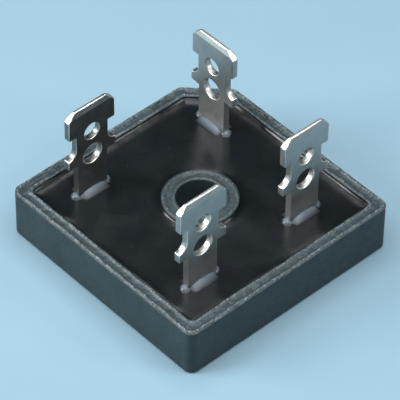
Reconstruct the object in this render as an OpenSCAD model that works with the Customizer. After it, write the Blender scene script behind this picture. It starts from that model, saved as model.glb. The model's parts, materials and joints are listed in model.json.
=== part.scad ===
// Square potted single-phase bridge rectifier.
// Four stamped tabs stand out of a filled plastic case with a metal base plate.
// Inside, each tab's foot carries one diode die, and its arm lies on the next
// tab's die, so the four tabs and dies close a ring round the mounting hole.
// Millimetres. Origin: centre of the mounting hole on the mounting face.
// X and Y run along the case's sides, and +X +Y points to the positive corner.

/* [Case] */
// Side of the square case
case_w = 28.6; // [28:0.1:34]
// Height of the case from the mounting face to the rim
case_h = 6.3; // [6:0.1:12]
// Radius of the upright outside corners
corner_r = 1.0; // [0.6:0.1:1.4]
// Leg of the bevelled corner that marks the positive tab
polarity_bevel = 4.4; // [3:0.1:6]
// Thickness of the case wall
wall = 1.5; // [1.2:0.1:1.8]
// Radius of the cavity's upright corners
cavity_r = 0.7; // [0.6:0.1:1.2]
// Rounding of the rim and of the lower edge
edge_round = 0.2; // [0.1:0.05:0.35]
// Width of the plastic border round the base plate
border_w = 2.0; // [1.7:0.1:2.3]
// Width of the ledge that covers the base plate's edge
seat_w = 0.6; // [0.4:0.1:0.9]
// Height of that ledge
ledge_t = 0.5; // [0.3:0.1:0.6]

/* [Mounting boss] */
// Radius of the mounting hole
bore_r = 2.65; // [2.2:0.05:2.8]
// Outer radius of the boss
boss_r = 4.2; // [4.1:0.05:4.6]
// Radius of the spigot where the boss passes through the base plate
spigot_r = 3.7; // [3.3:0.05:4]
// Thickness of the ribs that tie the boss to the walls
rib_t = 1.0; // [0.8:0.1:1.4]
// Height of the ribs
rib_h = 1.0; // [0.7:0.1:1.2]

/* [Base plate] */
// Thickness of the base plate
plate_t = 1.6; // [1.2:0.1:2]
// How far the base plate stands proud of the case's lower edge
plate_proud = 0.1; // [0.05:0.05:0.2]
// Rounding of the base plate's edges
plate_round = 0.15; // [0.05:0.05:0.2]
// Radius of the base plate's corners
plate_corner_r = 0.8; // [0.5:0.1:1.2]

/* [Insulating tiles] */
// Thickness of the ceramic tiles
tile_t = 0.6; // [0.4:0.05:0.8]
// Clearance round each tile
tile_gap = 0.2; // [0.1:0.05:0.3]

/* [Diode dies] */
// Side of a die
die_w = 4.2; // [3.4:0.1:4.4]
// Thickness of a die
die_t = 0.3; // [0.2:0.05:0.4]
// Thickness of a solder layer
solder_t = 0.1; // [0.05:0.05:0.15]
// Bare rim of the die outside its upper contact
die_rim = 0.4; // [0.3:0.05:0.6]

/* [Terminal strip] */
// Thickness of the tabs and their lead frames
strip_t = 0.8; // [0.7:0.05:0.9]
// Inner radius of the bend at a tab's foot
bend_r = 0.8; // [0.4:0.1:0.9]
// Inner radius of the arm's two bends
joggle_r = 0.4; // [0.3:0.05:0.5]
// Angle of the arm's rising stretch
joggle_angle = 45; // [35:1:60]
// Width of an arm
arm_w = 2.4; // [1.8:0.1:2.6]
// Gap between the boss and an arm
boss_gap = 0.7; // [0.6:0.05:0.8]
// Edge of the foot left bare round its die
pad_rim = 0.25; // [0.2:0.05:0.4]

/* [Tab outline] */
// Height of the tabs' tips above the mounting face
tab_top = 17.9; // [17:0.1:24]
// Width of the push-on head
head_w = 6.3; // [5.8:0.1:6.6]
// Length of the head, tip to shoulders
head_l = 3.45; // [3:0.05:4]
// Cut across the tip's two corners
tip_cut = 0.95; // [0.5:0.05:1.3]
// Length of the tip's lead-in bevels
lead_in_l = 0.6; // [0.3:0.05:0.9]
// Depth of the tip's lead-in bevels
lead_in_d = 0.25; // [0.1:0.05:0.3]
// Width of the neck that wire is wrapped round
neck_w = 4.4; // [3.8:0.1:5]
// Length of the neck, shoulders to the flare
neck_l = 1.9; // [1:0.05:2.2]
// Radius of the flare under the neck
flare_r = 1.1; // [1:0.05:1.8]
// Width over the ears
ear_w = 6.55; // [6:0.05:6.8]
// Length from the start of the flare to the ears' undersides
ear_l = 2.25; // [1.9:0.05:3]
// Width of the shank
shank_w = 4.0; // [3.2:0.1:4.4]
// Radius of the upper hole
upper_hole_r = 1.05; // [0.7:0.05:1.2]
// Distance of the upper hole's centre from the tip
upper_hole_drop = 3.75; // [3.4:0.05:4.1]
// Radius of the lower hole
lower_hole_r = 1.3; // [0.9:0.05:1.5]
// Distance of the lower hole's centre from the tip
lower_hole_drop = 7.0; // [6.7:0.05:7.4]

/* [Tab places] */
// Negative tab, distance from the hole across the case
negative_x = 7.7; // [7.5:0.1:8.2]
// Negative tab, distance from the hole along the case
negative_y = 8.4; // [8.2:0.1:8.9]
// Right AC tab, distance from the hole across the case
ac_right_x = 6.9; // [6.8:0.1:7.6]
// Right AC tab, distance from the hole along the case
ac_right_y = 8.4; // [8.2:0.1:8.9]
// Left AC tab, distance from the hole across the case
ac_left_x = 7.3; // [7.1:0.1:8]
// Left AC tab, distance from the hole along the case
ac_left_y = 9.4; // [9.1:0.1:9.9]
// Positive tab, distance from the hole across the case
positive_x = 9.2; // [8.9:0.1:9.7]
// Positive tab, distance from the hole along the case
positive_y = 7.9; // [7.6:0.1:8.1]

/* [Potting] */
// Depth of the potting's surface below the rim
fill_drop = 0.8; // [0.6:0.05:1]
// Radius of the potting's climb up the walls and the boss
wall_climb = 0.55; // [0.3:0.05:0.6]
// Radius of the potting's climb up the tabs
tab_climb = 1.1; // [0.8:0.05:1.1]

/* [Hidden] */
$fn = 48;
cut = 0.5;              // how far a cutting solid runs past a face
climb_toe = 0.01;       // keeps a climb's two edges from ending in a cusp
climb_root = 0.2;       // how far a climb's solid reaches into the fill
half_w = case_w / 2;

// Levels, mounting face upwards
case_z = plate_proud;
ledge_z = plate_t + ledge_t;
pad_z = plate_t + tile_t;
lower_solder_z = pad_z + strip_t;
die_z = lower_solder_z + solder_t;
upper_solder_z = die_z + die_t;
arm_z = upper_solder_z + solder_t;
fill_z = case_h - fill_drop;

// Insets from the case's outer faces
pocket_d = border_w;
ledge_d = border_w + seat_w;
plate_gap = 0.1;
spigot_gap = 0.1;

// Lead frame, measured from a tab's middle plane
foot_v = strip_t / 2 + bend_r;
die_v = foot_v + pad_rim + die_w / 2;
pad_end_v = die_v + die_w / 2 + pad_rim;
pad_w = die_w + 2 * pad_rim;
contact_w = die_w - 2 * die_rim;
arm_line = boss_r + boss_gap + arm_w / 2;
joggle_rise = arm_z - pad_z;
joggle_rc = joggle_r + strip_t / 2;
slope_l = (joggle_rise - 2 * joggle_rc * (1 - cos(joggle_angle))) / sin(joggle_angle);
joggle_run = 2 * joggle_rc * sin(joggle_angle) + slope_l * cos(joggle_angle);
bend_steps = 6;

// Tab levels
shoulder_z = tab_top - head_l;
flare_z = shoulder_z - neck_l;
ear_z = flare_z - ear_l;
bend_z = pad_z + strip_t + bend_r;

// Tabs as [x, y, turn]: a tab's foot points along +Y before it is turned
function negative_tab() = [-negative_x, -negative_y, 0];
function ac_right_tab() = [ac_right_x, -ac_right_y, 0];
function positive_tab() = [positive_x, positive_y, 90];
function ac_left_tab() = [-ac_left_x, ac_left_y, 180];
TABS = [negative_tab(), ac_right_tab(), positive_tab(), ac_left_tab()];

// ---------------------------------------------------------------- helpers

// Case outline drawn in by d: four square corners, one of them bevelled
function bevel_at(d) = polarity_bevel - d * (2 - sqrt(2));
function outline(d) =
    let (h = half_w - d, b = bevel_at(d))
    [[-h, -h], [h, -h], [h, h - b], [h - b, h], [-h, h]];

function turned(p, a) = [p.x * cos(a) - p.y * sin(a), p.x * sin(a) + p.y * cos(a)];
function foot_point(tab, p) = [tab.x, tab.y] + turned(p, tab.z);
function in_tab(tab, p) = turned(p - [tab.x, tab.y], -tab.z);
function die_centre(tab) = foot_point(tab, [0, die_v]);

// Puts its children at a tab's place, turned as the tab is
module at_tab(tab) {
    translate([tab.x, tab.y, 0])
        rotate([0, 0, tab.z])
            children();
}

// Flat shape of the outline drawn in by d with corner radius r
module plan(d, r) {
    pts = outline(d + r);
    n = len(pts);
    polygon(pts);
    for (i = [0:n - 1]) {
        a = pts[i];
        b = pts[(i + 1) % n];
        translate(a)
            circle(r);
        translate(a)
            rotate(atan2(b.y - a.y, b.x - a.x))
                translate([0, -r])
                    square([norm(b - a), r]);
    }
}

// Slab of the outline drawn in by d, from z0 to z1, its edges rounded by f
module eased_slab(d, r, z0, z1, f) {
    hull()
        for (a = [0, 45, 90]) {
            inset = f * (1 - cos(a));
            rise = f * (1 - sin(a));
            translate([0, 0, z0 + rise])
                linear_extrude(z1 - z0 - 2 * rise)
                    plan(d + inset, r - inset, $fn = 32);
        }
}

// How far a climb of radius r reaches out, and how high it rises
function climb_size(r) =
    let (m = r - climb_toe)
    m - sqrt(r * r - m * m);

// Section of a hollow fillet of radius r in the corner at the origin, with a
// root that reaches below the surface it grows from
module climb_section(r) {
    difference() {
        translate([0, -climb_root])
            square([climb_size(r), climb_size(r) + climb_root]);
        translate([r - climb_toe, r - climb_toe])
            circle(r);
    }
}

// ------------------------------------------------------------------- case

module case() {
    color([0.2, 0.22, 0.23])
        difference() {
            union() {
                difference() {
                    eased_slab(0, corner_r, case_z, case_h, edge_round);
                    case_cavity();
                    ledge_opening();
                    plate_pocket();
                }
                boss();
                ribs();
            }
            mounting_bore();
        }
}

// Space for the potting
module case_cavity() {
    translate([0, 0, ledge_z])
        linear_extrude(case_h + cut - ledge_z)
            plan(wall, cavity_r);
}

module ledge_opening() {
    translate([0, 0, plate_t])
        linear_extrude(ledge_t + cut)
            plan(ledge_d, cavity_r);
}

module plate_pocket() {
    translate([0, 0, -cut])
        linear_extrude(plate_t + cut)
            plan(pocket_d, plate_corner_r);
}

module boss() {
    rotate_extrude()
        union() {
            translate([0, plate_t])
                square([boss_r, case_h - edge_round - plate_t]);
            translate([0, case_z])
                square([spigot_r, plate_t]);
            translate([0, case_h - edge_round])
                square([boss_r - edge_round, edge_round]);
            translate([boss_r - edge_round, case_h - edge_round])
                circle(edge_round);
        }
}

// Four ribs on the base plate, from the boss to the walls
module ribs() {
    reach = half_w - wall + cut / 2;
    for (a = [0:90:270])
        rotate([0, 0, a])
            translate([spigot_r, -rib_t / 2, plate_t])
                cube([reach - spigot_r, rib_t, rib_h]);
}

module mounting_bore() {
    translate([0, 0, -cut])
        cylinder(r = bore_r, h = case_h + 2 * cut);
}

// ------------------------------------------------------------- base plate

module base_plate() {
    color([0.72, 0.73, 0.74])
        difference() {
            eased_slab(pocket_d + plate_gap, plate_corner_r, 0, plate_t, plate_round);
            translate([0, 0, -cut])
                cylinder(r = spigot_r + spigot_gap, h = plate_t + 2 * cut);
        }
}

// -------------------------------------------------------- insulating tiles

// Tile of one quarter of the case; sx and sy pick the quarter
module insulator(sx, sy) {
    start = rib_t / 2 + tile_gap;
    color([0.93, 0.92, 0.88])
        translate([0, 0, plate_t])
            linear_extrude(tile_t)
                difference() {
                    intersection() {
                        plan(ledge_d + tile_gap, cavity_r);
                        mirror([sx < 0 ? 1 : 0, 0])
                            mirror([0, sy < 0 ? 1 : 0])
                                translate([start, start])
                                    square(half_w);
                    }
                    circle(boss_r + tile_gap);
                }
}

// ------------------------------------------------------------- dies, solder

module die_plate(tab, w, t, z) {
    at_tab(tab)
        translate([-w / 2, die_v - w / 2, z])
            cube([w, w, t]);
}

module diode_die(tab) {
    color([0.35, 0.37, 0.42])
        die_plate(tab, die_w, die_t, die_z);
}

module lower_solder(tab) {
    color([0.75, 0.75, 0.72])
        die_plate(tab, die_w, solder_t, lower_solder_z);
}

module upper_solder(tab) {
    color([0.75, 0.75, 0.72])
        die_plate(tab, contact_w, solder_t, upper_solder_z);
}

// --------------------------------------------------------------- terminals

// Front view of a tab, from its foot bend to its tip
module tab_outline() {
    translate([-shank_w / 2, bend_z])
        square([shank_w, ear_z - bend_z]);
    difference() {
        translate([-ear_w / 2, ear_z])
            square([ear_w, ear_l]);
        for (side = [-1, 1])
            translate([side * (neck_w / 2 + flare_r), flare_z])
                circle(flare_r);
    }
    translate([-neck_w / 2, flare_z])
        square([neck_w, neck_l]);
    polygon([
        [-head_w / 2, shoulder_z],
        [head_w / 2, shoulder_z],
        [head_w / 2, tab_top - tip_cut],
        [head_w / 2 - tip_cut, tab_top],
        [-head_w / 2 + tip_cut, tab_top],
        [-head_w / 2, tab_top - tip_cut]
    ]);
}

// Upright tab with its lead-in bevels and its two holes
module tab_blade() {
    difference() {
        translate([0, strip_t / 2, 0])
            rotate([90, 0, 0])
                linear_extrude(strip_t)
                    tab_outline();
        for (side = [0, 1])
            mirror([0, side, 0])
                translate([-head_w / 2 - cut, 0, 0])
                    rotate([90, 0, 90])
                        linear_extrude(head_w + 2 * cut)
                            polygon([
                                [strip_t / 2, tab_top - lead_in_l],
                                [strip_t / 2 + cut, tab_top - lead_in_l],
                                [strip_t / 2 + cut, tab_top + cut],
                                [strip_t / 2 - lead_in_d, tab_top + cut],
                                [strip_t / 2 - lead_in_d, tab_top]
                            ]);
        tab_hole(upper_hole_r, upper_hole_drop);
        tab_hole(lower_hole_r, lower_hole_drop);
    }
}

module tab_hole(r, drop) {
    translate([0, strip_t, tab_top - drop])
        rotate([90, 0, 0])
            cylinder(r = r, h = 2 * strip_t);
}

// Quarter bend from the upright shank to the flat foot
module foot_bend() {
    translate([-shank_w / 2, foot_v, bend_z])
        rotate([90, 0, 90])
            linear_extrude(shank_w)
                intersection() {
                    difference() {
                        circle(bend_r + strip_t);
                        circle(bend_r);
                    }
                    translate([-bend_r - strip_t, -bend_r - strip_t])
                        square(bend_r + strip_t);
                }
}

// Flat foot under the die
module foot_pad() {
    translate([-pad_w / 2, foot_v, pad_z])
        cube([pad_w, pad_end_v - foot_v, strip_t]);
}

// Points along an arc about c
function arc_points(c, r, from, to) =
    [for (i = [0:bend_steps])
        let (a = from + (to - from) * i / bend_steps)
        c + r * [cos(a), sin(a)]];

// Side view of an arm that leaves the foot at the origin and rises to the
// next tab's die; length is its whole run
module arm_side(length) {
    outer_r = joggle_r + strip_t;
    low = [0, outer_r];
    high = [joggle_run, joggle_rise - joggle_r];
    polygon(concat(
        [[-cut, 0]],
        arc_points(low, outer_r, -90, joggle_angle - 90),
        arc_points(high, joggle_r, 90 + joggle_angle, 90),
        [[length, joggle_rise], [length, joggle_rise + strip_t]],
        arc_points(high, outer_r, 90, 90 + joggle_angle),
        arc_points(low, joggle_r, joggle_angle - 90, -90),
        [[-cut, strip_t]]
    ));
}

// Arm along +Y from [u, v] on the foot, and its contact centred on target
module straight_arm(u, v, target) {
    translate([u - arm_w / 2, v, pad_z])
        rotate([90, 0, 90])
            linear_extrude(arm_w)
                arm_side(target.y - v);
    arm_contact(target);
}

// Arm along +X from [u, v] on the foot, and its contact centred on target
module side_arm(u, v, target) {
    translate([u, v + arm_w / 2, pad_z])
        rotate([90, 0, 0])
            linear_extrude(arm_w)
                arm_side(target.x - u);
    arm_contact(target);
}

module arm_contact(target) {
    translate([target.x - contact_w / 2, target.y - contact_w / 2, arm_z])
        cube([contact_w, contact_w, strip_t]);
}

module tab_and_foot() {
    tab_blade();
    foot_bend();
    foot_pad();
}

// One lead: tab, foot and the arm that reaches the next tab's die
module terminal(tab, next_tab) {
    target = in_tab(tab, die_centre(next_tab));
    color([0.78, 0.78, 0.76])
        at_tab(tab) {
            tab_and_foot();
            if (tab.z == next_tab.z)
                side_arm(pad_w / 2, abs(tab.y) - arm_line, target);
            else
                straight_arm(straight_arm_u(tab), pad_end_v, target);
        }
}

// Place across the foot of an arm that runs straight on from it
function straight_arm_u(tab) =
    tab.z == 90 ? arm_line - tab.y : arm_line - abs(tab.x);

// ----------------------------------------------------------------- potting

module potting_compound() {
    color([0.12, 0.14, 0.15])
        difference() {
            union() {
                potting_fill();
                for (tab = TABS)
                    at_tab(tab)
                        translate([0, 0, fill_z])
                            tab_climb_ring();
            }
            boss();
            ribs();
            for (tab = TABS) {
                diode_die(tab);
                lower_solder(tab);
                upper_solder(tab);
            }
            all_terminals();
            all_insulators();
        }
}

module potting_fill() {
    translate([0, 0, ledge_z])
        linear_extrude(fill_z - ledge_z)
            plan(wall, cavity_r);
    translate([0, 0, plate_t])
        linear_extrude(ledge_t)
            plan(ledge_d, cavity_r);
    intersection() {
        wall_climbs();
        translate([0, 0, fill_z - cut])
            linear_extrude(fill_drop + cut)
                plan(wall, cavity_r);
    }
    rotate_extrude()
        translate([boss_r, fill_z])
            climb_section(wall_climb);
}

// Potting drawn up along each wall
module wall_climbs() {
    pts = outline(wall);
    n = len(pts);
    for (i = [0:n - 1]) {
        a = pts[i];
        b = pts[(i + 1) % n];
        translate([a.x, a.y, fill_z])
            rotate([0, 0, atan2(b.y - a.y, b.x - a.x)])
                rotate([90, 0, 90])
                    linear_extrude(norm(b - a)) {
                        climb_section(wall_climb);
                        translate([-cut, -climb_root])
                            square([cut, climb_size(wall_climb) + climb_root]);
                    }
    }
}

// Potting drawn up round a tab's shank: two bell sections that cross
module tab_climb_ring() {
    length = shank_w + 2 * climb_size(tab_climb);
    depth = strip_t + 2 * climb_size(tab_climb);
    intersection() {
        translate([-length / 2, 0, 0])
            rotate([90, 0, 90])
                linear_extrude(length)
                    bell_section(strip_t);
        translate([0, depth / 2, 0])
            rotate([90, 0, 0])
                linear_extrude(depth)
                    bell_section(shank_w);
    }
}

// Section through a climb on both sides of a bar of width w
module bell_section(w) {
    translate([-w / 2, -climb_root])
        square([w, climb_size(tab_climb) + climb_root]);
    for (side = [0, 1])
        mirror([side, 0])
            translate([w / 2, 0])
                climb_section(tab_climb);
}

// ------------------------------------------------------------------- nodes

module negative_terminal() { terminal(negative_tab(), ac_right_tab()); }
module ac_terminal_right() { terminal(ac_right_tab(), positive_tab()); }
module positive_terminal() { terminal(positive_tab(), ac_left_tab()); }
module ac_terminal_left() { terminal(ac_left_tab(), negative_tab()); }
module all_terminals() {
    negative_terminal();
    ac_terminal_right();
    positive_terminal();
    ac_terminal_left();
}

module insulator_negative() { insulator(-1, -1); }
module insulator_right() { insulator(1, -1); }
module insulator_positive() { insulator(1, 1); }
module insulator_left() { insulator(-1, 1); }
module all_insulators() {
    insulator_negative();
    insulator_right();
    insulator_positive();
    insulator_left();
}

case();
base_plate();
potting_compound();
negative_terminal();
ac_terminal_right();
positive_terminal();
ac_terminal_left();
insulator_negative();
insulator_right();
insulator_positive();
insulator_left();
diode_die(negative_tab());  // diode_die_negative
diode_die(ac_right_tab());  // diode_die_right
diode_die(positive_tab());  // diode_die_positive
diode_die(ac_left_tab());  // diode_die_left
lower_solder(negative_tab());  // lower_solder_negative
lower_solder(ac_right_tab());  // lower_solder_right
lower_solder(positive_tab());  // lower_solder_positive
lower_solder(ac_left_tab());  // lower_solder_left
upper_solder(negative_tab());  // upper_solder_negative
upper_solder(ac_right_tab());  // upper_solder_right
upper_solder(positive_tab());  // upper_solder_positive
upper_solder(ac_left_tab());  // upper_solder_left
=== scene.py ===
"""A square potted bridge rectifier with four push-on tabs, on a pale floor."""

import json
import math

import bmesh
import bpy
import numpy as np
from mathutils import Matrix, Vector


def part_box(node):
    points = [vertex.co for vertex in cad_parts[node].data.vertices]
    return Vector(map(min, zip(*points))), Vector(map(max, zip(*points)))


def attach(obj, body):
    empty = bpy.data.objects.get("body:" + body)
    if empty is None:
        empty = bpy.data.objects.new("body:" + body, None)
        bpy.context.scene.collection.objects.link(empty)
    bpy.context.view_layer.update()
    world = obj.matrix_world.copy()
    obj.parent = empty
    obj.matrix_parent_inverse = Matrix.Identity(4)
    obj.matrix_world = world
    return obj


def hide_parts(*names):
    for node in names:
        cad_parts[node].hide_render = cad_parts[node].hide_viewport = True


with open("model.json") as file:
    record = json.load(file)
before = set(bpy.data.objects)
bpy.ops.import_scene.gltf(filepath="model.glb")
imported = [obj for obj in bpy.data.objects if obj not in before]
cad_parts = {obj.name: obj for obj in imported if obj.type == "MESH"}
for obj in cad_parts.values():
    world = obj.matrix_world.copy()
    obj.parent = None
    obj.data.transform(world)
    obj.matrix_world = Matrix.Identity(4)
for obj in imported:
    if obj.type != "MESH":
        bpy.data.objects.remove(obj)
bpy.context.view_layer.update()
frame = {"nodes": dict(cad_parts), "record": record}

MM = 0.001

# ------------------------------------------------------------ sizes, in mm

CASE_LOW = Vector(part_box("case")[0]) / MM
CASE_HIGH = Vector(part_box("case")[1]) / MM
HALF_W = CASE_HIGH.x
RIM_Z = CASE_HIGH.z
CASE_Z = CASE_LOW.z

POLARITY_BEVEL = 4.4
CORNER_R = 1.0
CAVITY_R = 0.7
WALL = 1.5
EDGE_ROUND = 0.2
POCKET_D = 2.0
LEDGE_D = 2.6
PLATE_T = 1.6
LEDGE_Z = 2.1
BORE_R = 2.65
SPIGOT_R = 3.7
BOSS_R = 4.2
FILL_DROP = 0.8
FILL_Z = RIM_Z - FILL_DROP
POTTING_LOW = 4.6
SHANK_W = 4.0
STRIP_T = 0.8

ARC_STEPS = 12
RIM_SPACING = 0.11
POTTING_SPACING = 0.14
POTTING_ROWS = 96


def mount_point(name):
    """Place of a named mount, in mm."""
    for mount in frame["record"]["mounts"]:
        if mount["name"] == name:
            return Vector(mount["pos_m"]) / MM
    raise KeyError(name)


NEGATIVE = "negative"
AC_RIGHT = "ac_right"
POSITIVE = "positive"
AC_LEFT = "ac_left"
TAB_NODES = {
    NEGATIVE: "negative_terminal",
    AC_RIGHT: "ac_terminal_right",
    POSITIVE: "positive_terminal",
    AC_LEFT: "ac_terminal_left",
}
TAB_POINTS = {tab: mount_point(tab + "_upper_hole") for tab in TAB_NODES}
ALONG_Y = {POSITIVE}

# ------------------------------------------------------------------- noise

HASH_SIZE = 8192


def value_noise(points, cell, seed):
    """Smooth noise from 0 to 1 at an array of points, with lumps of about one cell."""
    table = np.random.default_rng(seed).random(HASH_SIZE)
    scaled = np.asarray(points, float) / cell
    base = np.floor(scaled).astype(np.int64)
    part = scaled - base
    part = part * part * (3 - 2 * part)
    total = np.zeros(len(scaled))
    for corner in range(8):
        step = np.array([corner & 1, corner >> 1 & 1, corner >> 2 & 1])
        cellx, celly, cellz = (base + step).T
        value = table[(cellx * 7919 + celly * 104729 + cellz * 1299709) % HASH_SIZE]
        share = np.prod(np.where(step, part, 1 - part), axis=1)
        total += value * share
    return total


def fractal_noise(points, cell, seed, octaves=3):
    """Value noise with finer and weaker layers added, from 0 to 1."""
    total = 0.0
    weight = 0.0
    for k in range(octaves):
        share = 0.5**k
        total = total + share * value_noise(points, cell * share, seed + k)
        weight += share
    return total / weight


# ------------------------------------------------------------ mesh helpers


def with_z(xy, z):
    return np.column_stack([xy, np.broadcast_to(z, len(xy))])


def ring_faces(rows, columns):
    """Quads of a grid whose rows and columns both close into rings."""
    i = np.repeat(np.arange(rows), columns)
    j = np.tile(np.arange(columns), rows)
    up = (i + 1) % rows
    on = (j + 1) % columns
    return np.column_stack([i * columns + j, i * columns + on, up * columns + on, up * columns + j])


def build_object(name, verts_mm, faces, material):
    """A smooth closed mesh, from places in mm, that rides the root body."""
    mesh = bpy.data.meshes.new(name)
    mesh.from_pydata((np.asarray(verts_mm) * MM).tolist(), [], np.asarray(faces).tolist())
    mesh.validate()
    mesh.update()
    face_up(mesh)
    obj = bpy.data.objects.new(name, mesh)
    bpy.context.collection.objects.link(obj)
    mesh.materials.append(material)
    mesh.shade_smooth()
    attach(obj, "root")
    return obj


def face_up(mesh):
    """Turns a closed mesh's faces outwards."""
    bm = bmesh.new()
    bm.from_mesh(mesh)
    if bm.calc_volume(signed=True) < 0:
        bmesh.ops.reverse_faces(bm, faces=bm.faces)
    bm.to_mesh(mesh)
    bm.free()


def add_attribute(obj, name, values):
    layer = obj.data.attributes.new(name, "FLOAT", "POINT")
    layer.data.foreach_set("value", np.asarray(values, np.float32))


# ----------------------------------------------------------- case outline


def outline(inset):
    """Corners of the case's outline, drawn in by inset."""
    half = HALF_W - inset
    cut = POLARITY_BEVEL - inset * (2 - math.sqrt(2))
    return [(-half, -half), (half, -half), (half, half - cut), (half - cut, half), (-half, half)]


def edge_lengths():
    corners = outline(0)
    return [math.dist(corners[i], corners[(i + 1) % 5]) for i in range(5)]


def outline_ring(inset, radius, spacing):
    """Points round the outline, drawn in by inset and with rounded corners.

    Rings of the same spacing have as many points, whatever their inset."""
    corners = outline(inset + radius)
    lengths = edge_lengths()
    points = []
    for i, corner in enumerate(corners):
        before = corners[i - 1]
        after = corners[(i + 1) % 5]
        start = math.atan2(corner[1] - before[1], corner[0] - before[0]) - math.pi / 2
        end = math.atan2(after[1] - corner[1], after[0] - corner[0]) - math.pi / 2
        end += 2 * math.pi if end < start - 1e-9 else 0
        for k in range(ARC_STEPS + 1):
            angle = start + (end - start) * k / ARC_STEPS
            points.append((corner[0] + radius * math.cos(angle), corner[1] + radius * math.sin(angle)))
        steps = round(lengths[i] / spacing)
        leave = np.array(points[-1])
        arrive = np.array(after) + radius * np.array([math.cos(end), math.sin(end)])
        points += [tuple(leave + (arrive - leave) * k / steps) for k in range(1, steps)]
    return np.array(points)


def corner_radius(inset):
    """Corner radius of the case at an inset: the outer face's, then the cavity's."""
    return float(np.interp(inset, [0, EDGE_ROUND, WALL], [CORNER_R, CORNER_R - EDGE_ROUND, CAVITY_R]))


def wall_distance(xy):
    """Distance of points inside the cavity from the nearest wall."""
    corners = np.array(outline(WALL))
    nearest = np.full(len(xy), np.inf)
    for i in range(5):
        a = corners[i]
        b = corners[(i + 1) % 5]
        along = (b - a) / np.linalg.norm(b - a)
        inward = np.array([-along[1], along[0]])
        nearest = np.minimum(nearest, (xy - a) @ inward)
    return np.maximum(nearest, 0)


# ------------------------------------------------------------ moulded rim

CRUST_DEPTH = 0.24
OUTER_RIDGE = 0.26
INNER_RIDGE = 1.3
RIDGE_HALF = 0.2
GRIT = 0.10
BOSS_HIGHLIGHT = 0.4
EDGE_CRUMBLE = 0.08
CHIP_DEPTH = 1.0
CHIP_CELL = 0.5
CHIP_SEED = 40
CRUST_FADE = 1.2
RIM_SEED = 3
BOSS_SEED = 71
BOSS_COLUMNS = 300
BOSS_CHAMFER = 0.12
BORE_CHAMFER = 0.15
BOSS_ROUGHNESS = 0.8


def polyline(points, step):
    """Points along a polyline, no further apart than step, without its last point."""
    out = []
    for a, b in zip(points[:-1], points[1:]):
        count = max(1, round(math.dist(a, b) / step))
        out += [(a[0] + (b[0] - a[0]) * k / count, a[1] + (b[1] - a[1]) * k / count) for k in range(count)]
    return out


def shell_profile():
    """Closed section of the case's wall as (inset, height), from the outer foot upwards."""
    outer_face = polyline([(0.0, CASE_Z + EDGE_ROUND), (0.0, RIM_Z - EDGE_ROUND)], 0.3)
    turn = [
        (EDGE_ROUND * (1 - math.cos(a)), RIM_Z - EDGE_ROUND * (1 - math.sin(a)))
        for a in np.radians([0, 22.5, 45, 67.5])
    ]
    rim = polyline([(EDGE_ROUND, RIM_Z), (WALL, RIM_Z)], 0.055)
    inner_wall = polyline([(WALL, RIM_Z), (WALL, POTTING_LOW)], 0.12)
    inside = [(WALL, POTTING_LOW), (WALL, LEDGE_Z), (LEDGE_D, LEDGE_Z), (LEDGE_D, PLATE_T)]
    below = [(POCKET_D, PLATE_T), (POCKET_D, CASE_Z)]
    foot = polyline([(POCKET_D - 0.05, CASE_Z), (EDGE_ROUND, CASE_Z)], 0.3)
    foot_turn = [
        (EDGE_ROUND * (1 - math.sin(a)), CASE_Z + EDGE_ROUND * (1 - math.cos(a)))
        for a in np.radians([0, 30, 60])
    ]
    return outer_face + turn + rim + inner_wall + inside + below + foot + foot_turn


def crust_and_highlight(across, points, seed):
    """How far a rough rim sinks, and how strong the painted highlight on its ridge peaks is.

    across is the distance from the rim's outer edge, points the places."""
    lumps = fractal_noise(points, 0.8, seed)
    grit = fractal_noise(points, 0.22, seed + 10, 2)
    wander = 0.18 * (value_noise(points, 1.6, seed + 20) - 0.5)
    outer = np.exp(-(((across - OUTER_RIDGE - wander) / RIDGE_HALF) ** 2))
    inner = np.exp(-(((across - INNER_RIDGE - wander) / RIDGE_HALF) ** 2))
    ridge = np.clip(outer * (0.45 + 0.75 * grit) + inner * (0.6 + 0.45 * lumps), 0, 1)
    depth = CRUST_DEPTH * (1 - ridge) * (0.5 + lumps) + GRIT * (1 - grit)
    # The ridge peaks get a painted highlight: pale, speckled by the grit.
    ridge_highlight = np.clip(ridge * (0.2 + 1.1 * grit) - 0.15 + 0.2 * lumps, 0, 1)
    return depth, ridge_highlight


def chip_edge(points, height):
    """Wears a ring of the outer face back a little, in place, and less so further down."""
    xy = points[:, :2].copy()
    chip = EDGE_CRUMBLE * np.clip(fractal_noise(points, CHIP_CELL, CHIP_SEED) * 2 - 0.9, 0, 1)
    chip = chip * (1 - (RIM_Z - height))
    points[:, :2] -= xy / np.linalg.norm(xy, axis=1, keepdims=True) * chip[:, None]


def make_case_shell(material):
    """The case's walls, border and rim, with the rim's rough top, a painted highlight on its ridges and
    its worn edge.
    """
    profile = shell_profile()
    rows = []
    ridge_highlights = []
    for inset, height in profile:
        xy = outline_ring(inset, corner_radius(inset), RIM_SPACING)
        points = with_z(xy, height)
        ridge_highlight = np.zeros(len(points))
        if height > RIM_Z - CRUST_FADE * EDGE_ROUND:
            depth, ridge_highlight = crust_and_highlight(np.full(len(points), inset), points, RIM_SEED)
            fade = min(1.0, (height - RIM_Z + CRUST_FADE * EDGE_ROUND) / EDGE_ROUND)
            points[:, 2] -= depth * fade
        if inset < EDGE_ROUND and height > RIM_Z - CHIP_DEPTH:
            chip_edge(points, height)
        rows.append(points)
        ridge_highlights.append(ridge_highlight)
    columns = len(rows[0])
    faces = ring_faces(len(rows), columns)
    shell = build_object("case_shell", np.vstack(rows), faces, material)
    add_attribute(shell, "crust_and_highlight", np.concatenate(ridge_highlights))
    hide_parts("case")
    return shell


def circle_ring(radius, count):
    angles = np.linspace(0, 2 * math.pi, count, endpoint=False)
    return np.column_stack([radius * np.cos(angles), radius * np.sin(angles)])


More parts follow.
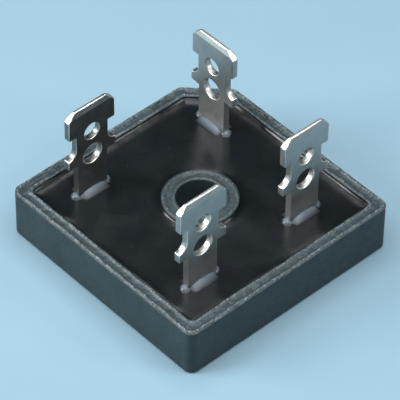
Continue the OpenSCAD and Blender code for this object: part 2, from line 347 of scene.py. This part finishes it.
def make_boss(material):
    """The sleeve round the mounting hole, with the rim's rough top and a fainter painted highlight on its
    ridges.
    """
    top_outer = BOSS_R - BOSS_CHAMFER
    top_inner = BORE_R + BOSS_CHAMFER
    outside = polyline([(BOSS_R, PLATE_T), (BOSS_R, RIM_Z - BOSS_CHAMFER), (top_outer, RIM_Z)], 0.25)
    top = polyline([(top_outer, RIM_Z), (top_inner, RIM_Z)], 0.06)
    bore = polyline([(top_inner, RIM_Z), (BORE_R, RIM_Z - BORE_CHAMFER), (BORE_R, CASE_Z)], 0.2)
    foot = [(BORE_R, CASE_Z), (SPIGOT_R, CASE_Z), (SPIGOT_R, PLATE_T)]
    rows = []
    ridge_highlights = []
    for radius, height in outside + top + bore + foot:
        points = with_z(circle_ring(radius, BOSS_COLUMNS), height)
        ridge_highlight = np.zeros(BOSS_COLUMNS)
        if height > RIM_Z - 0.05:
            across = np.full(BOSS_COLUMNS, (BOSS_R - radius) * (WALL / (BOSS_R - BORE_R)))
            depth, ridge_highlight = crust_and_highlight(across, points, BOSS_SEED)
            # The boss's ridges get a weaker painted highlight.
            ridge_highlight = BOSS_HIGHLIGHT * ridge_highlight
            points[:, 2] -= BOSS_ROUGHNESS * depth
        rows.append(points)
        ridge_highlights.append(ridge_highlight)
    faces = ring_faces(len(rows), BOSS_COLUMNS)
    boss = build_object("boss_sleeve", np.vstack(rows), faces, material)
    add_attribute(boss, "crust_and_highlight", np.concatenate(ridge_highlights))
    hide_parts("case")
    return boss


# ----------------------------------------------------------------- potting

WALL_CLIMB = 0.42
WALL_REACH = 0.28
TAB_CLIMB = 0.5
TAB_REACH = 0.85
BEAD_HALF = 1.75
BEAD_END = 0.65
END_SHARE = 0.8
ROW_EASE = 0.25
RIPPLE = 0.03


def tab_bead(xy, tab):
    """Height of the resin bead round a tab's shank: a long one on each face, a small one at each edge."""
    centre = TAB_POINTS[tab]
    local = np.abs(xy - np.array([centre.x, centre.y]))
    along, across = (local[:, 1], local[:, 0]) if tab in ALONG_Y else (local[:, 0], local[:, 1])
    out = np.maximum(across - STRIP_T / 2, 0)
    width = np.sqrt(np.clip(1 - (along / BEAD_HALF) ** 2, 0, 1))
    side = width * np.clip(1 - out / TAB_REACH, 0, 1)
    end = 1 - ((along - SHANK_W / 2) / BEAD_END) ** 2 - (across / BEAD_END) ** 2
    return TAB_CLIMB * np.maximum(side, END_SHARE * np.clip(end, 0, 1))


def potting_height(xy):
    """Height of the potting's surface: flat, drawn up where it wets."""
    flat = with_z(xy, 0.0)
    swell = RIPPLE * (fractal_noise(flat, 3.5, 5) - 0.5)
    uneven = 0.7 + 0.6 * fractal_noise(flat, 2.2, 9)
    wall = WALL_CLIMB * uneven * np.exp(-wall_distance(xy) / WALL_REACH)
    boss = WALL_CLIMB * uneven * np.exp(-np.maximum(np.linalg.norm(xy, axis=1) - BOSS_R, 0) / WALL_REACH)
    climb = np.maximum(wall, boss)
    for tab in TAB_NODES:
        climb = np.maximum(climb, tab_bead(xy, tab))
    return FILL_Z + swell + climb


def make_potting(material):
    """The resin between the case's wall and the boss, as rings that morph from one to the other."""
    outer = outline_ring(WALL, CAVITY_R, POTTING_SPACING)
    angle = np.arctan2(outer[:, 1], outer[:, 0])
    inner = BOSS_R * np.column_stack([np.cos(angle), np.sin(angle)])
    shares = np.linspace(0, 1, POTTING_ROWS)
    shares = (1 - ROW_EASE) * shares + ROW_EASE * shares * shares * (3 - 2 * shares)
    rows = [outer * (1 - t) + inner * t for t in shares]
    tops = [with_z(xy, 0.0) for xy in rows]
    for points in tops:
        points[:, 2] = potting_height(points[:, :2])
    tops.append(with_z(inner, POTTING_LOW))
    tops.append(with_z(outer, POTTING_LOW))
    faces = ring_faces(len(tops), len(outer))
    potting = build_object("potting_surface", np.vstack(tops), faces, material)
    points = np.vstack(tops)
    haze = fractal_noise(points, 2.5, 31)
    edge = np.exp(-wall_distance(points[:, :2]) / 0.35)
    add_attribute(potting, "smear", np.clip(edge * (haze * 2.6 - 1.0), 0, 1))
    # The beads round the tabs get a painted highlight: its mask follows the bead height.
    beads = np.max([tab_bead(points[:, :2], tab) for tab in TAB_NODES], axis=0)
    add_attribute(potting, "bead", np.clip(beads / TAB_CLIMB * 1.5, 0, 1))
    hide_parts("potting_compound")
    return potting


# --------------------------------------------------------------- terminals

TAB_EDGE = 0.07
CURVED_FACE = 0.15
SHARP_ANGLE = 25
EASE_BELOW_RESIN = 0.5


def make_terminal(tab, material, edge_highlight_material):
    """The CAD terminal with its stamped edges eased; the eased edges take a lighter second material as a
    painted highlight.
    """
    node = TAB_NODES[tab]
    source = frame["nodes"][node]
    bm = bmesh.new()
    bm.from_mesh(source.data)
    bmesh.ops.remove_doubles(bm, verts=bm.verts, dist=2e-6)
    bmesh.ops.dissolve_limit(bm, angle_limit=math.radians(0.5), verts=bm.verts, edges=bm.edges)
    sharp = []
    for edge in bm.edges:
        above = min(v.co.z for v in edge.verts) > (FILL_Z - EASE_BELOW_RESIN) * MM
        if above and len(edge.link_faces) == 2 and edge.calc_face_angle() > math.radians(SHARP_ANGLE):
            sharp.append(edge)
    eased = bmesh.ops.bevel(
        bm, geom=sharp, offset=TAB_EDGE * MM, segments=2, profile=0.5, affect="EDGES", clamp_overlap=True
    )
    for face in bm.faces:
        face.smooth = len(face.verts) == 4 and face.calc_area() < CURVED_FACE * MM * MM
    # The bevel faces take the lighter edge material: a painted highlight along the eased edges.
    for face in eased["faces"]:
        face.material_index = 1
        face.smooth = True
    bmesh.ops.triangulate(bm, faces=[f for f in bm.faces if len(f.verts) > 4])
    mesh = bpy.data.meshes.new(tab + "_blade")
    bm.to_mesh(mesh)
    bm.free()
    obj = bpy.data.objects.new(tab + "_blade", mesh)
    bpy.context.collection.objects.link(obj)
    mesh.materials.append(material)
    mesh.materials.append(edge_highlight_material)
    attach(obj, "root")
    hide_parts(node)
    return obj


# --------------------------------------------------------------- materials


class Recipe:
    """A node material under construction."""

    def __init__(self, name):
        self.material = bpy.data.materials.new(name)
        self.material.use_nodes = True
        self.tree = self.material.node_tree
        self.shader = self.tree.nodes["Principled BSDF"]
        self.place = self.tree.nodes.new("ShaderNodeTexCoord").outputs["Object"]

    def node(self, kind, **settings):
        made = self.tree.nodes.new(kind)
        for key, value in settings.items():
            setattr(made, key, value)
        return made

    def link(self, source, target):
        self.tree.links.new(source, target)

    def noise(self, scale, detail=4.0, rough=0.55, stretch=None):
        """Noise with features of about 1/scale mm; stretch scales x, y and z."""
        made = self.node("ShaderNodeTexNoise")
        made.inputs["Scale"].default_value = scale / MM
        made.inputs["Detail"].default_value = detail
        made.inputs["Roughness"].default_value = rough
        if stretch:
            mapping = self.node("ShaderNodeMapping")
            mapping.inputs["Scale"].default_value = stretch
            self.link(self.place, mapping.inputs["Vector"])
            self.link(mapping.outputs["Vector"], made.inputs["Vector"])
        else:
            self.link(self.place, made.inputs["Vector"])
        return made.outputs["Fac"]

    def ramp(self, source, low, high, dark, light):
        """Colour that goes from dark at low to light at high."""
        made = self.node("ShaderNodeValToRGB")
        made.color_ramp.elements[0].position = low
        made.color_ramp.elements[1].position = high
        made.color_ramp.elements[0].color = (*dark, 1)
        made.color_ramp.elements[1].color = (*light, 1)
        self.link(source, made.inputs["Fac"])
        return made.outputs["Color"]

    def spread(self, source, low, high, to_low, to_high):
        made = self.node("ShaderNodeMapRange")
        made.inputs["From Min"].default_value = low
        made.inputs["From Max"].default_value = high
        made.inputs["To Min"].default_value = to_low
        made.inputs["To Max"].default_value = to_high
        self.link(source, made.inputs["Value"])
        return made.outputs["Result"]

    def attribute(self, name):
        return self.node("ShaderNodeAttribute", attribute_name=name).outputs["Fac"]

    def mix(self, factor, first, second):
        made = self.node("ShaderNodeMix", data_type="RGBA")
        self.link(factor, made.inputs["Factor"])
        for socket, value in ((made.inputs[6], first), (made.inputs[7], second)):
            if isinstance(value, tuple):
                socket.default_value = (*value, 1)
            else:
                self.link(value, socket)
        return made.outputs[2]

    def bump(self, source, strength, distance_mm, normal=None):
        made = self.node("ShaderNodeBump")
        made.inputs["Strength"].default_value = strength
        made.inputs["Distance"].default_value = distance_mm * MM
        self.link(source, made.inputs["Height"])
        if normal:
            self.link(normal, made.inputs["Normal"])
        return made.outputs["Normal"]

    def finish(self, colour, roughness, normal=None, metallic=0.0, specular=0.5):
        self.link(colour, self.shader.inputs["Base Color"])
        if isinstance(roughness, float):
            self.shader.inputs["Roughness"].default_value = roughness
        else:
            self.link(roughness, self.shader.inputs["Roughness"])
        if normal:
            self.link(normal, self.shader.inputs["Normal"])
        self.shader.inputs["Metallic"].default_value = metallic
        self.shader.inputs["Specular IOR Level"].default_value = specular
        return self.material


def case_plastic():
    """Moulded blue-grey plastic with scrapes and a gritty rim whose ridge peaks carry a painted highlight.
    """
    r = Recipe("case_plastic")
    clouds = r.ramp(r.noise(0.35, 5.0), 0.35, 0.7, (0.012, 0.022, 0.025), (0.019, 0.033, 0.037))
    scrapes = r.noise(1.0, 3.0, 0.6, (5.0, 5.0, 0.25))
    body = r.mix(r.spread(scrapes, 0.62, 0.75, 0.0, 0.5), clouds, (0.036, 0.055, 0.060))
    grit = r.noise(7.0, 2.0)
    # Painted highlight: pale speckled colour on the rim's ridge peaks, laid on by the rim's attribute.
    ridge_highlight_colour = r.ramp(grit, 0.42, 0.66, (0.012, 0.018, 0.021), (0.22, 0.28, 0.30))
    colour = r.mix(r.attribute("crust_and_highlight"), body, ridge_highlight_colour)
    rough = r.spread(r.noise(1.6), 0.3, 0.7, 0.42, 0.6)
    fine = r.bump(grit, 0.25, 0.02)
    normal = r.bump(scrapes, 0.12, 0.03, fine)
    return r.finish(colour, rough, normal, specular=0.4)


def potting_resin():
    """Near-black glossy resin, a little hazy and dusty, with a painted highlight on the beads round the
    tabs.
    """
    r = Recipe("potting_resin")
    tint = r.ramp(r.noise(0.25, 3.0), 0.3, 0.7, (0.0022, 0.0040, 0.0048), (0.0042, 0.0068, 0.0080))
    dust = r.noise(4.5, 1.0)
    dusty = r.mix(r.spread(dust, 0.79, 0.84, 0.0, 0.6), tint, (0.14, 0.17, 0.18))
    smeared = r.mix(r.attribute("smear"), dusty, (0.040, 0.042, 0.038))
    # Painted highlight: pale blue-grey colour on the beads round the tabs.
    colour = r.mix(r.attribute("bead"), smeared, (0.10, 0.125, 0.15))
    haze = r.spread(r.noise(0.3, 2.0), 0.3, 0.75, 0.22, 0.32)
    normal = r.bump(r.noise(0.6, 2.0), 0.2, 0.03)
    return r.finish(colour, haze, normal, specular=0.3)


def plated_strip(name, dark, light, rough_low, rough_high):
    """Plated strip with a faint rolled grain."""
    r = Recipe(name)
    grain = r.noise(1.2, 4.0, 0.6, (3.0, 3.0, 0.35))
    stain = r.noise(0.5, 4.0)
    colour = r.mix(r.spread(stain, 0.35, 0.7, 0.0, 1.0), dark, light)
    rough = r.spread(grain, 0.3, 0.7, rough_low, rough_high)
    normal = r.bump(grain, 0.04, 0.008, r.bump(r.noise(9.0, 2.0), 0.05, 0.005))
    return r.finish(colour, rough, normal, metallic=1.0)


def plain_metal(name, dark, light, rough, stretch):
    """Milled, drawn or cast metal, brushed along the axis that stretch shortens."""
    r = Recipe(name)
    lines = r.noise(2.5, 4.0, 0.6, stretch)
    colour = r.ramp(lines, 0.3, 0.7, dark, light)
    roughness = r.spread(r.noise(0.8), 0.3, 0.7, rough - 0.06, rough + 0.08)
    return r.finish(colour, roughness, r.bump(lines, 0.15, 0.01), metallic=1.0)


def ceramic(name, dark, light, rough):
    """Fired ceramic or silicon with fine mottling."""
    r = Recipe(name)
    grain = r.noise(3.0, 4.0)
    colour = r.ramp(grain, 0.3, 0.7, dark, light)
    return r.finish(colour, r.spread(grain, 0.3, 0.7, rough - 0.1, rough + 0.1), r.bump(grain, 0.1, 0.01))


def paint_node(node, material):
    obj = frame["nodes"][node]
    obj.data.materials.clear()
    obj.data.materials.append(material)


def paint_inner_pieces():
    plate = plain_metal("plate_aluminium", (0.45, 0.46, 0.47), (0.62, 0.63, 0.64), 0.36, (0.2, 6.0, 1.0))
    tile = ceramic("tile_alumina", (0.72, 0.70, 0.64), (0.86, 0.85, 0.80), 0.55)
    die = ceramic("die_silicon", (0.07, 0.08, 0.10), (0.15, 0.16, 0.19), 0.3)
    solder = plain_metal("solder_layer", (0.42, 0.42, 0.40), (0.6, 0.6, 0.57), 0.4, (1.0, 1.0, 1.0))
    paint_node("base_plate", plate)
    for name in frame["nodes"]:
        if name.startswith("insulator"):
            paint_node(name, tile)
        elif name.startswith("diode_die"):
            paint_node(name, die)
        elif "solder" in name:
            paint_node(name, solder)


# ------------------------------------------------------- floor and lights


FLOOR_HALF = 900.0
FLOOR_POINTS = 12
FLOOR_Z = -0.02


def make_floor():
    r = Recipe("floor_paper")
    colour = r.ramp(r.noise(0.05, 3.0), 0.3, 0.7, (0.17, 0.27, 0.33), (0.18, 0.28, 0.34))
    material = r.finish(colour, 0.8, specular=0.2)
    count = FLOOR_POINTS
    axis = np.linspace(-FLOOR_HALF, FLOOR_HALF, count)
    xx, yy = np.meshgrid(axis, axis)
    verts = np.column_stack([xx.ravel(), yy.ravel(), np.full(xx.size, FLOOR_Z)])
    faces = [
        (i * count + j, i * count + j + 1, (i + 1) * count + j + 1, (i + 1) * count + j)
        for i in range(count - 1)
        for j in range(count - 1)
    ]
    mesh = bpy.data.meshes.new("floor")
    mesh.from_pydata((verts * MM).tolist(), [], faces)
    mesh.materials.append(material)
    floor = bpy.data.objects.new("floor", mesh)
    bpy.context.collection.objects.link(floor)


def aim(obj, place, target):
    obj.location = place
    obj.rotation_euler = (target - place).to_track_quat("-Z", "Y").to_euler()


def add_light(name, place_mm, size_mm, watts, colour, spin=0.0):
    data = bpy.data.lights.new(name, "AREA")
    data.shape = "RECTANGLE"
    data.size = size_mm[0] * MM
    data.size_y = size_mm[1] * MM
    data.energy = watts
    data.color = colour
    light = bpy.data.objects.new(name, data)
    bpy.context.collection.objects.link(light)
    aim(light, Vector(place_mm) * MM, Vector((0, 0, 0.006)))
    light.rotation_euler.rotate_axis("Z", math.radians(spin))
    return light


SOFT_WHITE = (0.98, 0.99, 1.0)
SIDE_WHITE = (0.96, 0.98, 1.0)
SKY = (0.72, 0.85, 0.95, 1)
SKY_STRENGTH = 0.06


def make_lights():
    bpy.context.scene.view_settings.view_transform = "Standard"
    world = bpy.data.worlds.new("studio")
    bpy.context.scene.world = world
    world.use_nodes = True
    sky = world.node_tree.nodes["Background"]
    sky.inputs["Color"].default_value = SKY
    sky.inputs["Strength"].default_value = SKY_STRENGTH
    add_light("overhead", (-20, -20, 300), (340, 340), 2.0, SOFT_WHITE, 45)
    add_light("left", (-300, 200, 190), (200, 160), 2.1, SOFT_WHITE)
    add_light("right", (170, -250, 185), (120, 120), 0.45, SIDE_WHITE)


# -------------------------------------------------------------- the camera

CAMERA_AZIMUTH = -42.992
CAMERA_ELEVATION = 45.107
CAMERA_ROLL = 0.884
CAMERA_DISTANCE = 339.637
CAMERA_LENS = 286.7
CAMERA_SHIFT = (-0.024, -0.423)


def make_camera():
    azimuth = math.radians(CAMERA_AZIMUTH)
    elevation = math.radians(CAMERA_ELEVATION)
    roll = math.radians(CAMERA_ROLL)
    back = Vector(
        (
            math.sin(azimuth) * math.cos(elevation),
            -math.cos(azimuth) * math.cos(elevation),
            math.sin(elevation),
        )
    )
    right = Vector((0, 0, 1)).cross(back).normalized()
    up = back.cross(right)
    across = math.cos(roll) * right + math.sin(roll) * up
    upright = -math.sin(roll) * right + math.cos(roll) * up
    place = CAMERA_SHIFT[0] * across + CAMERA_SHIFT[1] * upright + CAMERA_DISTANCE * back
    place.z += RIM_Z
    data = bpy.data.cameras.new("camera")
    data.lens = CAMERA_LENS
    data.sensor_width = 36.0
    data.clip_end = 10.0
    camera = bpy.data.objects.new("camera", data)
    bpy.context.collection.objects.link(camera)
    turn = Matrix((across, upright, back)).transposed().to_4x4()
    camera.matrix_world = Matrix.Translation(place * MM) @ turn
    bpy.context.scene.camera = camera


# -------------------------------------------------------------------- main


def main():
    plastic = case_plastic()
    make_case_shell(plastic)
    make_boss(plastic)
    make_potting(potting_resin())
    # Painted highlight: a lighter copy of the tab plating for the eased edges.
    edge = plated_strip("tab_edges_painted_highlight", (0.66, 0.64, 0.59), (0.80, 0.78, 0.72), 0.26, 0.42)
    face = plated_strip("tab_faces", (0.36, 0.37, 0.355), (0.44, 0.45, 0.43), 0.36, 0.44)
    # Painted shade: a darker copy of the tab plating, for the left AC tab's face.
    painted_shade_face = plated_strip("tab_face_painted_shade", (0.16, 0.17, 0.16), (0.24, 0.25, 0.24), 0.34, 0.42)
    for tab in TAB_NODES:
        make_terminal(tab, painted_shade_face if tab == AC_LEFT else face, edge)
    paint_inner_pieces()
    make_floor()
    make_lights()
    make_camera()


main()
